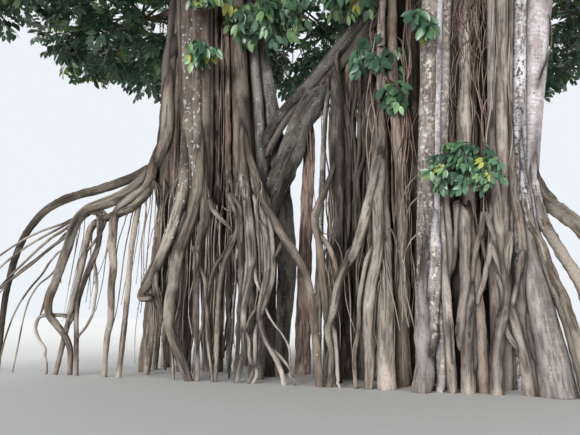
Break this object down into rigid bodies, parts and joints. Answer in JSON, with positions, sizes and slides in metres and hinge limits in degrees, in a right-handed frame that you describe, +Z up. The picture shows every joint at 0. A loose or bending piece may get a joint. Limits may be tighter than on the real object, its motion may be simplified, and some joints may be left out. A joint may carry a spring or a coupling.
{
  "type": "banyan tree",
  "caption": "Spreading fig tree: clumps of fused stems on hanging and propping roots, with a leaning stem, boughs and a domed crown of leaf masses.",
  "frame": {"origin": "middle of the main trunk's flat cut at ground level", "axes": "+Z up the trunk, +X to the right along the roadside face of the tree, +Y away from the roadside"},
  "size_m": [19.3118, 16.4929, 15.1165],
  "materials": {
    "bark": "rough fluted bark, tan to grey brown",
    "pale_bark": "smoother pale bark with lichen patches",
    "bough_bark": "mossy grey-brown bark",
    "root_bark": "weathered grey-tan root bark",
    "leaves": "glossy dark green leaves on thin twigs"
  },
  "bodies": {
    "root": {"arched_stem": "root_bark", "diagonal_root": "root_bark", "elbow_root": "root_bark", "leaning_stem": "bough_bark", "left_trunk": "bark", "long_root": "root_bark", "main_trunk": "bark", "middle_bough_1": "bough_bark", "middle_bough_2": "bough_bark", "middle_bough_3": "bough_bark", "middle_bough_4": "bough_bark", "middle_bough_5": "bough_bark", "middle_bough_6": "bough_bark", "middle_leaves_1": "leaves", "middle_leaves_2": "leaves", "middle_leaves_3": "leaves", "middle_leaves_4": "leaves", "middle_leaves_5": "leaves", "middle_leaves_6": "leaves", "outer_bough_1": "bough_bark", "outer_bough_2": "bough_bark", "outer_bough_3": "bough_bark", "outer_bough_4": "bough_bark", "outer_bough_5": "bough_bark", "outer_bough_6": "bough_bark", "outer_bough_7": "bough_bark", "outer_bough_8": "bough_bark", "outer_bough_9": "bough_bark", "outer_leaves_1": "leaves", "outer_leaves_2": "leaves", "outer_leaves_3": "leaves", "outer_leaves_4": "leaves", "outer_leaves_5": "leaves", "outer_leaves_6": "leaves", "outer_leaves_7": "leaves", "outer_leaves_8": "leaves", "outer_leaves_9": "leaves", "prop_a": "pale_bark", "prop_b": "pale_bark", "prop_c": "pale_bark", "prop_d": "pale_bark", "prop_e": "pale_bark", "prop_f": "pale_bark", "shoot_bough": "leaves", "shoot_left": "leaves", "shoot_pale": "leaves", "shoot_prop": "leaves", "shoot_right": "leaves", "side_root_high": "root_bark", "side_root_low": "root_bark", "slim_root_a": "root_bark", "slim_root_b": "root_bark", "sweeping_root": "root_bark", "top_bough_1": "bough_bark", "top_bough_2": "bough_bark", "top_bough_3": "bough_bark", "top_leaves_1": "leaves", "top_leaves_2": "leaves", "top_leaves_3": "leaves"}
  },
  "joints": []
}
